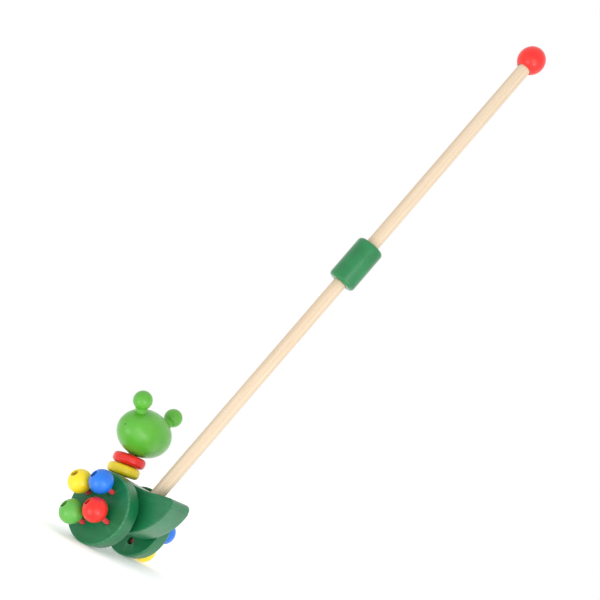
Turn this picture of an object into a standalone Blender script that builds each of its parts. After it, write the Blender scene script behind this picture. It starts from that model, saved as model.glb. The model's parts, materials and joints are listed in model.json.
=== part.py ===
"""Push-along bug on a stick, in painted and plain turned wood.

Two discs on one axle carry a half-moon body between them.  Four beads sit
on short elastic cords on the outer face of each disc.  The body holds a neck
with two loose rings and a turned head with two ball ears, and a leaning
two-part stick joined by a sleeve and topped by a ball.

Metres, +Z up, the toy faces -Y, its left is +X.  The origin is the point on
the floor under the middle of the axle.
"""

import math

import bmesh
import bpy
from mathutils import Matrix, Vector

# Clearance between pieces that touch, and around the turning axle.
GAP = 0.0003
# Radial clearance of a cord in its hole, and of its knot in the wider mouth.
CORD_PLAY = 0.0004
KNOT_PLAY = 0.0007
# How far a cutter runs on past the surface it opens.
CUTTER_OVERRUN = 0.04

# Body block, cut from a board and rounded along its edges.
BODY_WIDTH = 0.0286
BODY_EDGE = 0.0012
BODY_FRONT_Y = -0.0355
BODY_NOSE_RADIUS = 0.011
BODY_TAIL_RADIUS = 0.005
BODY_TOP = ((-0.0245, 0.0284), (-0.008, 0.0279), (0.008, 0.0276),
            (0.022, 0.0279), (0.034, 0.0298), (0.0455, 0.0314))
BELLY_RADIUS = 0.047
BELLY_CENTRE = (0.005, 0.035)

# Discs and their axle.
WHEEL_RADIUS = 0.030
WHEEL_WIDTH = 0.0145
WHEEL_EDGE = 0.002
WHEEL_GAP = 0.0055
WHEEL_INNER_X = BODY_WIDTH / 2 + WHEEL_GAP
WHEEL_OUTER_X = WHEEL_INNER_X + WHEEL_WIDTH
AXLE_RADIUS = 0.004
AXLE_SOCKET = 0.008
AXLE_Z = WHEEL_RADIUS

# Cords and their knots.
CORD_RADIUS = 0.0019
KNOT_RADIUS = 0.0024
KNOT_TIP_RADIUS = 0.0013
KNOT_LENGTH = 0.003
KNOT_EASE = 0.0008
CORD_HOLE_RADIUS = CORD_RADIUS + CORD_PLAY
KNOT_HOLE_RADIUS = KNOT_RADIUS + KNOT_PLAY
KNOT_HOLE_DEPTH = 0.005
DISC_KNOT_RECESS = 0.0012
BEAD_KNOT_RECESS = 0.0008
CORD_BEND_OUT = 0.0015

# Beads.  They stand clear of the disc, and their holes lie far enough out
# that the beads clear each other.
BEAD_RADIUS = 0.010
BEAD_LIP = 0.0005
BEAD_FLAT_RADIUS = KNOT_HOLE_RADIUS + BEAD_LIP
BEAD_CLEAR_OF_DISC = 0.0023
BEAD_STAND = BEAD_RADIUS + BEAD_CLEAR_OF_DISC
HOLE_CIRCLE = 1.68 * BEAD_RADIUS

# Where each bead sits: its colour, the angle of its hole from +Z towards +Y,
# and how far it leans from its hole towards +Y and +Z, in bead radii.
LEFT_BEADS = (
    ("blue", 22.4, -0.57, 0.42),
    ("red", 112.4, -0.72, 0.49),
    ("green", 202.4, -0.57, 0.43),
    ("yellow", 292.4, -0.34, 0.58),
)
RIGHT_BEADS = (
    ("blue", 70.7, 0.0, -0.45),
    ("yellow", 160.7, 0.0, -0.40),
    ("green", 250.7, 0.0, -0.45),
    ("red", 340.7, 0.0, -0.45),
)

# Neck, rings and head.
NECK_LEAN = math.radians(3.2)
NECK_RADIUS = 0.004
NECK_FOOT = (-0.0204, 0.0337)
NECK_SOCKET = 0.0165
RING_RADIUS = 0.0146
RING_PLAY = 0.0012
RING_BORE = NECK_RADIUS + RING_PLAY
RING_BORE_EDGE = 0.0010
RING_THICKNESS = 0.0090
RING_EDGE = 0.0036
RING_SPACE = 0.0007
RING_TILT = math.radians(6.6)
RING_HEIGHTS = (("yellow", 0.0), ("red", RING_THICKNESS + RING_SPACE))
HEAD_HALF_WIDTH = 0.03035
HEAD_RADIUS = 0.0207
HEAD_CLEAR_OF_RING = 0.00085
HEAD_HEIGHT = RING_HEIGHTS[-1][1] + RING_THICKNESS / 2 + HEAD_CLEAR_OF_RING + HEAD_RADIUS
HEAD_NECK_SOCKET = 0.013
HEAD_DIMPLE_RADIUS = 0.0012
HEAD_DIMPLE_DEPTH = 0.0009
EAR_RADIUS = 0.0084
EAR_STEM_RADIUS = 0.0045
EAR_WAIST = 0.0016
EAR_WAIST_EASE = 0.0004
EAR_STAND = EAR_RADIUS + EAR_WAIST
EAR_SOCKET = 0.006
EAR_ROOT_ANGLE = math.radians(48.2)
EAR_SPLAY = math.radians(31.7)

# Stick, sleeve and the ball on top.  Places along the stick are measured
# from STICK_FOOT.
STICK_RADIUS = 0.006
STICK_LEAN = math.radians(17.5)
STICK_FOOT = (0.02055, 0.020)
STICK_SOCKET = -0.017
STICK_CHAMFER = 0.0006
SLEEVE_RADIUS = 0.0128
SLEEVE_LENGTH = 0.0425
SLEEVE_EDGE = 0.0033
SLEEVE_CENTRE = 0.267
BALL_RADIUS = 0.0125
BALL_CENTRE = 0.5087
BALL_SOCKET = 0.011

COLOURS = {
    "blue": (45, 130, 250),
    "red": (232, 44, 36),
    "yellow": (240, 212, 40),
    "green": (96, 186, 88),
    "dark_green": (52, 128, 84),
    "head_green": (92, 176, 62),
    "cord_red": (206, 34, 40),
    "wood": (234, 212, 180),
}


def linear(channel):
    """One 0-255 screen value as the linear value a shader takes."""
    value = channel / 255
    return value / 12.92 if value <= 0.04045 else ((value + 0.055) / 1.055) ** 2.4


def finish(piece, colour, roughness):
    """Give a piece its own material."""
    material = bpy.data.materials.new(piece.name)
    material.use_nodes = True
    shader = material.node_tree.nodes["Principled BSDF"]
    shader.inputs["Base Color"].default_value = (*map(linear, COLOURS[colour]), 1)
    shader.inputs["Roughness"].default_value = roughness
    piece.data.materials.clear()
    piece.data.materials.append(material)


def add_piece(name, bm, place):
    """Turn a finished bmesh into an object with smooth sides and crisp corners."""
    bmesh.ops.recalc_face_normals(bm, faces=bm.faces)
    mesh = bpy.data.meshes.new(name)
    bm.to_mesh(mesh)
    bm.free()
    for face in mesh.polygons:
        face.use_smooth = True
    mesh.set_sharp_from_angle(angle=math.radians(38))
    piece = bpy.data.objects.new(name, mesh)
    bpy.context.scene.collection.objects.link(piece)
    piece.matrix_world = place
    return piece


def turned(name, profile, segments, place, looped=False):
    """A turned piece about its own Z from (radius, height) pairs.

    An open profile starts and ends on the axis.  A looped one closes on
    itself and leaves a bore along the axis.
    """
    bm = bmesh.new()
    points = [bm.verts.new((radius, 0, height)) for radius, height in profile]
    edges = [bm.edges.new(pair) for pair in zip(points, points[1:])]
    if looped:
        edges.append(bm.edges.new((points[-1], points[0])))
    bmesh.ops.spin(bm, geom=points + edges, cent=(0, 0, 0), axis=(0, 0, 1),
                   angle=2 * math.pi, steps=segments, use_merge=True)
    bmesh.ops.remove_doubles(bm, verts=bm.verts, dist=1e-6)
    bmesh.ops.dissolve_degenerate(bm, dist=1e-7, edges=bm.edges)
    return add_piece(name, bm, place)


def cut(piece, name, profile, segments, place):
    """Bore a turned shape out of a piece."""
    cutter = turned(name, profile, segments, place)
    cutter.hide_render = True
    cutter.display_type = "WIRE"
    bore = piece.modifiers.new(name, "BOOLEAN")
    bore.operation = "DIFFERENCE"
    bore.solver = "EXACT"
    bore.object = cutter


def rod(radius, start, end, chamfer=0.0):
    """Profile of a plain or chamfered rod between two heights."""
    if not chamfer:
        return [(0, start), (radius, start), (radius, end), (0, end)]
    return [(0, start), (radius - chamfer, start), (radius, start + chamfer),
            (radius, end - chamfer), (radius - chamfer, end), (0, end)]


def arc(centre, radius, first, last, steps):
    """Points on an arc between two angles in degrees, both ends included."""
    turns = [math.radians(first + (last - first) * i / steps) for i in range(steps + 1)]
    return [(centre[0] + radius * math.cos(a), centre[1] + radius * math.sin(a)) for a in turns]


def turn_to(direction):
    """Rotation that takes +Z to a direction."""
    return Vector(direction).to_track_quat("Z", "Y").to_matrix().to_4x4()


def smooth_through(points, steps):
    """A smooth line through points, with a few steps between each two."""
    knots = [Vector(p) for p in points]
    knots = [2 * knots[0] - knots[1]] + knots + [2 * knots[-1] - knots[-2]]
    line = []
    for a, b, c, d in zip(knots, knots[1:], knots[2:], knots[3:]):
        for i in range(steps):
            t = i / steps
            line.append(0.5 * (2 * b + (c - a) * t + (2 * a - 5 * b + 4 * c - d) * t ** 2
                               + (3 * b - a - 3 * c + d) * t ** 3))
    return [tuple(p) for p in line] + [tuple(knots[-2])]


def body_outline():
    """Side view of the body as (y, height over the axle), anticlockwise."""
    nose = (BODY_FRONT_Y + BODY_NOSE_RADIUS, BODY_TOP[0][1] - BODY_NOSE_RADIUS)
    tail = (BODY_TOP[-1][0], BODY_TOP[-1][1] - BODY_TAIL_RADIUS)
    belly_y, belly_z = BELLY_CENTRE
    nose_drop = math.sqrt(BELLY_RADIUS ** 2 - (BODY_FRONT_Y - belly_y) ** 2)
    from_nose = math.degrees(math.atan2(-nose_drop, BODY_FRONT_Y - belly_y))
    to_tail = math.degrees(math.atan2(tail[1] - belly_z, tail[0] - belly_y))
    outline = arc(BELLY_CENTRE, BELLY_RADIUS, from_nose, to_tail - 3, 20)
    outline += arc(tail, BODY_TAIL_RADIUS, to_tail, 95, 6)
    outline += smooth_through(BODY_TOP, 3)[::-1][1:]
    outline += arc(nose, BODY_NOSE_RADIUS, 100, 180, 6)
    return outline


def build_body():
    """The block between the discs, with its axle bore and two sockets."""
    bm = bmesh.new()
    outline = [bm.verts.new((-BODY_WIDTH / 2, y, z)) for y, z in body_outline()]
    side = bm.faces.new(outline)
    swept = bmesh.ops.extrude_face_region(bm, geom=[side])
    far_side = [v for v in swept["geom"] if isinstance(v, bmesh.types.BMVert)]
    bmesh.ops.translate(bm, verts=far_side, vec=(BODY_WIDTH, 0, 0))
    rims = [e for e in bm.edges if abs(e.verts[0].co.x - e.verts[1].co.x) < 1e-6]
    bmesh.ops.bevel(bm, geom=rims, offset=BODY_EDGE, segments=2, profile=0.5, affect="EDGES")
    body = add_piece("body_block", bm, Matrix.Translation((0, 0, AXLE_Z)))
    cut(body, "cut_axle_bore", rod(AXLE_RADIUS + GAP, -BODY_WIDTH, BODY_WIDTH), 24,
        Matrix.Translation((0, 0, AXLE_Z)) @ turn_to((1, 0, 0)))
    cut(body, "cut_neck_socket", rod(NECK_RADIUS + GAP, -NECK_SOCKET - 2 * GAP, NECK_SOCKET), 20,
        neck_place(-NECK_RADIUS))
    cut(body, "cut_stick_socket", rod(STICK_RADIUS + GAP, STICK_SOCKET - GAP, CUTTER_OVERRUN), 24,
        stick_place(0))
    finish(body, "dark_green", 0.42)


def build_axle():
    """The dowel both discs are glued to."""
    half = WHEEL_INNER_X + AXLE_SOCKET - GAP
    axle = turned("axle", rod(AXLE_RADIUS, -half, half, STICK_CHAMFER), 24,
                  Matrix.Translation((0, 0, AXLE_Z)) @ turn_to((1, 0, 0)))
    finish(axle, "wood", 0.6)


def bead_hole(side, angle):
    """Middle of a cord hole on a disc's outer face."""
    turn = math.radians(angle)
    return Vector((side * WHEEL_OUTER_X, HOLE_CIRCLE * math.sin(turn),
                   AXLE_Z + HOLE_CIRCLE * math.cos(turn)))


def build_wheel(name, side, beads):
    """One disc, with a blind axle bore and a stepped hole for each cord."""
    rim = WHEEL_RADIUS - WHEEL_EDGE
    profile = [(0, AXLE_SOCKET), (AXLE_RADIUS + GAP, AXLE_SOCKET), (AXLE_RADIUS + GAP, 0)]
    profile += arc((rim, WHEEL_EDGE), WHEEL_EDGE, -90, 0, 3)
    profile += arc((rim, WHEEL_WIDTH - WHEEL_EDGE), WHEEL_EDGE, 0, 90, 3)
    profile += [(0, WHEEL_WIDTH)]
    wheel = turned(name, profile, 44,
                   Matrix.Translation((side * WHEEL_INNER_X, 0, AXLE_Z)) @ turn_to((side, 0, 0)))
    stepped = [(0, -WHEEL_WIDTH / 2), (CORD_HOLE_RADIUS, -WHEEL_WIDTH / 2),
               (CORD_HOLE_RADIUS, WHEEL_WIDTH - KNOT_HOLE_DEPTH),
               (KNOT_HOLE_RADIUS, WHEEL_WIDTH - KNOT_HOLE_DEPTH),
               (KNOT_HOLE_RADIUS, WHEEL_WIDTH * 1.5), (0, WHEEL_WIDTH * 1.5)]
    for colour, angle, _, _ in beads:
        cut(wheel, f"cut_{name}_{colour}", stepped, 16,
            Matrix.Translation(bead_hole(side, angle)) @ turn_to((-side, 0, 0)))
    finish(wheel, "dark_green", 0.42)


def bead_profile(half_length):
    """A bead: a ball with flat ends, a cord bore and a wider mouth for the knot."""
    ball = math.degrees(math.acos(BEAD_FLAT_RADIUS / BEAD_RADIUS))
    knot_floor = half_length - KNOT_HOLE_DEPTH
    skin = arc((0, 0), BEAD_RADIUS, -ball, ball, 8)
    return [(CORD_HOLE_RADIUS, knot_floor), (CORD_HOLE_RADIUS, -half_length)] + skin \
        + [(KNOT_HOLE_RADIUS, half_length), (KNOT_HOLE_RADIUS, knot_floor)]


def build_cord(name, base, bend, along, bead_end):
    """An elastic cord from the back of the disc to the far end of the bead.

    It runs straight through the disc, bends just outside it, and ends in a
    knot at each end.
    """
    into_disc = (base - bend).normalized()
    back = (base - bend).length + WHEEL_WIDTH - DISC_KNOT_RECESS
    front = bead_end - BEAD_KNOT_RECESS
    knot = ((0, KNOT_TIP_RADIUS), (KNOT_EASE, KNOT_RADIUS),
            (KNOT_LENGTH - KNOT_EASE, KNOT_RADIUS), (KNOT_LENGTH, CORD_RADIUS))
    path = [(into_disc * (back - inward), radius) for inward, radius in knot]
    for t in (0, 1 / 3, 2 / 3, 1):
        turn = into_disc * (1 - t) ** 2 + along * t ** 2
        path.append((turn * CORD_BEND_OUT, CORD_RADIUS))
    path += [(along * (front - inward), radius) for inward, radius in reversed(knot)]
    curve = bpy.data.curves.new(name, "CURVE")
    curve.dimensions = "3D"
    curve.bevel_depth = 1.0
    curve.bevel_resolution = 1
    curve.use_fill_caps = True
    line = curve.splines.new("POLY")
    line.points.add(len(path) - 1)
    for point, (spot, radius) in zip(line.points, path):
        point.co = (*spot, 1)
        point.radius = radius
    guide = bpy.data.objects.new(name + "_guide", curve)
    bpy.context.scene.collection.objects.link(guide)
    swept = guide.evaluated_get(bpy.context.evaluated_depsgraph_get()).to_mesh()
    bm = bmesh.new()
    bm.from_mesh(swept)
    bpy.data.objects.remove(guide)
    bmesh.ops.remove_doubles(bm, verts=bm.verts, dist=1e-6)
    cord = add_piece(name, bm, Matrix.Translation(bend))
    finish(cord, "cord_red", 0.55)


def build_bead(side, side_name, bead):
    """One bead on its cord.  The bead's origin is where the cord bends."""
    colour, angle, lean_y, lean_z = bead
    mouth = bead_hole(side, angle)
    bend = mouth + Vector((side * CORD_BEND_OUT, 0, 0))
    centre = mouth + Vector((side * BEAD_STAND, lean_y * BEAD_RADIUS, lean_z * BEAD_RADIUS))
    along = (centre - bend).normalized()
    reach = (centre - bend).length
    half_length = math.sqrt(BEAD_RADIUS ** 2 - BEAD_FLAT_RADIUS ** 2)
    profile = [(radius, height + reach) for radius, height in bead_profile(half_length)]
    piece = turned(f"bead_{side_name}_{colour}", profile, 20,
                   Matrix.Translation(bend) @ turn_to(along), looped=True)
    finish(piece, colour, 0.2)
    build_cord(f"cord_{side_name}_{colour}", mouth, bend, along, reach + half_length)


def neck_place(height):
    """Frame of the leaning neck, at a height along it from its foot."""
    foot = Matrix.Translation((0, NECK_FOOT[0], AXLE_Z + NECK_FOOT[1]))
    return foot @ Matrix.Rotation(-NECK_LEAN, 4, "X") @ Matrix.Translation((0, 0, height))


def build_neck():
    """The dowel from the body up into the head, and the two loose rings on it."""
    top = HEAD_HEIGHT - HEAD_RADIUS + HEAD_NECK_SOCKET - GAP
    dowel = turned("neck_dowel", rod(NECK_RADIUS, -NECK_SOCKET - NECK_RADIUS, top, STICK_CHAMFER),
                   20, neck_place(0))
    finish(dowel, "wood", 0.6)
    half = RING_THICKNESS / 2
    edge = RING_BORE_EDGE
    profile = arc((RING_RADIUS - RING_EDGE, RING_EDGE - half), RING_EDGE, -90, 0, 4)
    profile += arc((RING_RADIUS - RING_EDGE, half - RING_EDGE), RING_EDGE, 0, 90, 4)
    profile += arc((RING_BORE + edge, half - edge), edge, 90, 180, 2)
    profile += arc((RING_BORE + edge, edge - half), edge, 180, 270, 2)
    for colour, height in RING_HEIGHTS:
        place = neck_place(height) @ Matrix.Rotation(NECK_LEAN + RING_TILT, 4, "X")
        ring = turned(f"neck_ring_{colour}", profile, 28, place, looped=True)
        finish(ring, colour, 0.22)


def build_head():
    """The turned head, wider than it is high, with its two ball ears."""
    poles = HEAD_HALF_WIDTH * math.sqrt(1 - (HEAD_DIMPLE_RADIUS / HEAD_RADIUS) ** 2)
    start = math.degrees(math.asin(poles / HEAD_HALF_WIDTH))
    oval = [(radius, height * HEAD_HALF_WIDTH / HEAD_RADIUS)
            for radius, height in arc((0, 0), HEAD_RADIUS, -start, start, 14)]
    profile = [(0, HEAD_DIMPLE_DEPTH - poles)] + oval + [(0, poles - HEAD_DIMPLE_DEPTH)]
    middle = neck_place(HEAD_HEIGHT)
    head = turned("head", profile, 30, middle @ turn_to((1, 0, 0)))
    neck_hole = rod(NECK_RADIUS + GAP, -CUTTER_OVERRUN, HEAD_NECK_SOCKET - HEAD_RADIUS)
    cut(head, "cut_head_neck", neck_hole, 20, middle)
    for side, side_name in ((1, "left"), (-1, "right")):
        root = Vector((side * HEAD_HALF_WIDTH * math.cos(EAR_ROOT_ANGLE), 0,
                       HEAD_RADIUS * math.sin(EAR_ROOT_ANGLE)))
        outward = turn_to((side * math.sin(EAR_SPLAY), 0, math.cos(EAR_SPLAY)))
        place = middle @ Matrix.Translation(root) @ outward
        cut(head, f"cut_head_ear_{side_name}",
            rod(EAR_STEM_RADIUS + GAP, -EAR_SOCKET - GAP, EAR_SOCKET), 20, place)
        build_ear(f"ear_{side_name}", place)
    finish(head, "head_green", 0.24)


def build_ear(name, place):
    """A turned peg with a ball end.  Its origin is where it enters the head."""
    lowest = math.degrees(math.acos(EAR_STEM_RADIUS / EAR_RADIUS))
    ball = arc((0, EAR_STAND), EAR_RADIUS, 4 - lowest, 90, 7)
    ball[-1] = (0, ball[-1][1])
    profile = [(0, -EAR_SOCKET), (EAR_STEM_RADIUS - STICK_CHAMFER, -EAR_SOCKET),
               (EAR_STEM_RADIUS, STICK_CHAMFER - EAR_SOCKET)]
    waist = EAR_STAND - EAR_RADIUS * math.sin(math.radians(lowest)) - EAR_WAIST_EASE
    profile += [(EAR_STEM_RADIUS, waist)]
    ear = turned(name, profile + ball, 20, place)
    finish(ear, "head_green", 0.24)


def stick_place(distance):
    """Frame of the leaning stick, at a distance along it from its foot."""
    foot = Matrix.Translation((0, STICK_FOOT[0], AXLE_Z + STICK_FOOT[1]))
    return foot @ Matrix.Rotation(-STICK_LEAN, 4, "X") @ Matrix.Translation((0, 0, distance))


def build_stick():
    """Both halves of the stick, the sleeve that joins them and the ball."""
    half = SLEEVE_LENGTH / 2
    lower = turned("stick_lower", rod(STICK_RADIUS, STICK_SOCKET, SLEEVE_CENTRE - GAP, STICK_CHAMFER),
                   24, stick_place(0))
    finish(lower, "wood", 0.55)

    bore = STICK_RADIUS + GAP
    rim = SLEEVE_RADIUS - SLEEVE_EDGE
    profile = [(bore, -half)] + arc((rim, SLEEVE_EDGE - half), SLEEVE_EDGE, -90, 0, 3)
    profile += arc((rim, half - SLEEVE_EDGE), SLEEVE_EDGE, 0, 90, 3) + [(bore, half)]
    sleeve = turned("stick_sleeve", profile, 32, stick_place(SLEEVE_CENTRE), looped=True)
    finish(sleeve, "dark_green", 0.3)

    top = BALL_CENTRE - BALL_RADIUS + BALL_SOCKET - GAP
    upper = turned("stick_upper", rod(STICK_RADIUS, GAP, top - SLEEVE_CENTRE, STICK_CHAMFER),
                   24, stick_place(SLEEVE_CENTRE))
    finish(upper, "wood", 0.55)

    mouth = math.degrees(math.acos(bore / BALL_RADIUS))
    ball = arc((0, 0), BALL_RADIUS, -mouth, 90, 9)
    ball[-1] = (0, BALL_RADIUS)
    floor = BALL_SOCKET - BALL_RADIUS
    knob = turned("stick_ball", [(0, floor), (bore, floor)] + ball, 28, stick_place(BALL_CENTRE))
    finish(knob, "red", 0.16)


def main():
    """Clear the file and build every piece."""
    for old in list(bpy.data.objects):
        bpy.data.objects.remove(old)
    build_body()
    build_axle()
    for side, side_name, beads in ((1, "left", LEFT_BEADS), (-1, "right", RIGHT_BEADS)):
        build_wheel(f"wheel_{side_name}", side, beads)
        for bead in beads:
            build_bead(side, side_name, bead)
    build_neck()
    build_head()
    build_stick()


main()
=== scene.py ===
"""Looks of the push-along bug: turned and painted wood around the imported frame.

Nearly every piece of the toy comes off a lathe, so one Geometry Nodes tree turns
them all from their profiles.  A second tree sweeps the elastic cords.  The body
block is cut from a board.  All sizes are in metres, +Z up, the toy faces -Y.
"""

import json
import logging
import math
from dataclasses import dataclass, replace
from enum import Enum

import bmesh
import bpy
from mathutils import Matrix, Vector


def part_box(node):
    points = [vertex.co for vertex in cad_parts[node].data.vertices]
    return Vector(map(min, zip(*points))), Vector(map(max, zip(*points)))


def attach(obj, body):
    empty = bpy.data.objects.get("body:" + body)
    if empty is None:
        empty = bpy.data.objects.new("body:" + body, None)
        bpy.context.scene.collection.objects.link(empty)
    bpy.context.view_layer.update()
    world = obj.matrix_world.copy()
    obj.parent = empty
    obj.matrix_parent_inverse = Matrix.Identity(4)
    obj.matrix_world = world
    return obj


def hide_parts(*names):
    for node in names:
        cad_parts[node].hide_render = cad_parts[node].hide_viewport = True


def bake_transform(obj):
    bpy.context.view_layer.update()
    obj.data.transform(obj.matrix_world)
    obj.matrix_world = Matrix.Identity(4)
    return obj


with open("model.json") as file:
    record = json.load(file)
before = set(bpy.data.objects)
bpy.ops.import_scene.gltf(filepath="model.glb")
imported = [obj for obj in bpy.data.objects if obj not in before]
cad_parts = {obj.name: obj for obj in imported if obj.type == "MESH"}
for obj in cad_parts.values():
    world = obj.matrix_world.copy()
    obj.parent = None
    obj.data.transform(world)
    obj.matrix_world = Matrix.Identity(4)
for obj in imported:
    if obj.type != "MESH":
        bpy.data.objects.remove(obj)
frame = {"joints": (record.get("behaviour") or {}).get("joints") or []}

LOG = logging.getLogger("push_along_bug")
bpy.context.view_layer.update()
JOINTS = {joint["name"]: joint for joint in frame["joints"]}

GAP = 0.0003
DISC_WIDTH = 0.0145
Station = tuple[float, float]
Triple = tuple[float, float, float]
Ink = tuple[int, int, int]
Socket = bpy.types.NodeSocket
Piece = bpy.types.Object
Material = bpy.types.Material


class Slot(Enum):
    """The record's material slots."""

    DARK_GREEN = "dark_green_paint"
    HEAD_GREEN = "head_green_paint"
    LIGHT_GREEN = "light_green_paint"
    RED = "red_paint"
    YELLOW = "yellow_paint"
    BLUE = "blue_paint"
    PLAIN = "plain_wood"
    ELASTIC = "red_elastic"


class Side(Enum):
    """The toy's own left is +X."""

    LEFT = 1
    RIGHT = -1

    @property
    def word(self) -> str:
        """The side's name in node names."""
        return self.name.lower()


# ----------------------------------------------------------------- node trees


class Graph:
    """A node tree, with short ways to add and join nodes."""

    def __init__(self, tree: bpy.types.NodeTree, family: str) -> None:
        """Take a tree and the prefix that most of its nodes' types have."""
        self.tree, self.family = tree, family

    def add(self, kind: str, values: dict | None = None, family: str = "",
            **settings: object) -> bpy.types.Node:
        """Add a node.

        Args:
            kind: The node's type, without its prefix.
            values: Input name or number to a constant or to another node's output.
            family: The type's prefix, where it isn't the tree's own.
            settings: Attributes of the node.

        Returns:
            The new node.
        """
        node = self.tree.nodes.new((family or self.family) + kind)
        for key, value in settings.items():
            setattr(node, key, value)
        for key, value in (values or {}).items():
            self.put(node.inputs[key], value)
        return node

    def put(self, socket: Socket, value: object) -> None:
        """Join an output to a socket, or set the socket's own value.

        Args:
            socket: The input.
            value: An output socket or a constant.
        """
        if isinstance(value, Socket):
            self.tree.links.new(value, socket)
        else:
            socket.default_value = value

    def maths(self, operation: str, first: object, second: object = 0.0) -> Socket:
        """One sum of two values or outputs."""
        return self.add("Math", {0: first, 1: second}, "ShaderNode", operation=operation).outputs[0]

    def times(self, first: object, second: object) -> Socket:
        """Two values or outputs multiplied."""
        return self.maths("MULTIPLY", first, second)


class Sheet(Graph):
    """One material's node sheet, round a Principled shader."""

    def __init__(self, name: str) -> None:
        """Start a material of this name."""
        self.material = bpy.data.materials.new(name)
        self.material.use_nodes = True
        super().__init__(self.material.node_tree, "ShaderNode")

    def finish(self, values: dict[str, object]) -> Material:
        """Set the shader's inputs, by name, and end the material.

        Args:
            values: Input name to a constant or an output.

        Returns:
            The material.
        """
        shader = self.tree.nodes["Principled BSDF"]
        for label, value in values.items():
            self.put(shader.inputs[label], value)
        return self.material

    def grained(self, axis: Vector, spread: float) -> Socket:
        """Object coordinates turned so that Z runs with the grain and squeezed along it.

        Args:
            axis: The grain's direction.
            spread: How much longer than wide the grain's marks are.

        Returns:
            The vector output.
        """
        turn = axis.rotation_difference(Vector((0, 0, 1))).to_euler()
        place = self.add("TexCoord").outputs["Object"]
        turned = self.add("Mapping", {"Vector": place, "Rotation": turn}).outputs[0]
        return self.add("Mapping", {"Vector": turned, "Scale": (1, 1, 1 / spread)}).outputs[0]

    def noise(self, vector: Socket, scale: float, detail: float = 2.0,
              rough: float = 0.5) -> Socket:
        """A noise value from 0 to 1, with scale marks per metre."""
        settings = {"Vector": vector, "Scale": scale, "Detail": detail, "Roughness": rough}
        return self.add("TexNoise", settings).outputs["Fac"]

    def span(self, value: Socket, low: float, high: float, to_low: float = 0.0,
             to_high: float = 1.0) -> Socket:
        """A value moved from one range to another, smooth at both ends."""
        ends = {"From Min": low, "From Max": high, "To Min": to_low, "To Max": to_high}
        return self.add("MapRange", {"Value": value, **ends}, interpolation_type="SMOOTHSTEP").outputs[0]

    def tint(self, amount: object, first: object, second: object, way: str = "MIX") -> Socket:
        """Two colours mixed.

        Args:
            amount: How much of the second.
            first: First colour.
            second: Second colour.
            way: The blend mode.

        Returns:
            The colour output.
        """
        mix = self.add("Mix", data_type="RGBA", blend_type=way)
        self.put(mix.inputs["Factor"], amount)
        self.put(mix.inputs[6], first)
        self.put(mix.inputs[7], second)
        return mix.outputs[2]

    def wear(self) -> Socket:
        """How sharply the surface bends, from the piece's own attribute."""
        return self.add("Attribute", attribute_name="wear").outputs["Fac"]


def shade(red: int, green: int, blue: int) -> tuple[float, float, float, float]:
    """A screen colour, 0 to 255 each, as the linear colour that a shader takes."""
    def linear(channel: float) -> float:
        """One channel."""
        return channel / 12.92 if channel <= 0.04045 else ((channel + 0.055) / 1.055) ** 2.4

    return linear(red / 255), linear(green / 255), linear(blue / 255), 1.0


# ------------------------------------------------------------------- finishes


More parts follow.
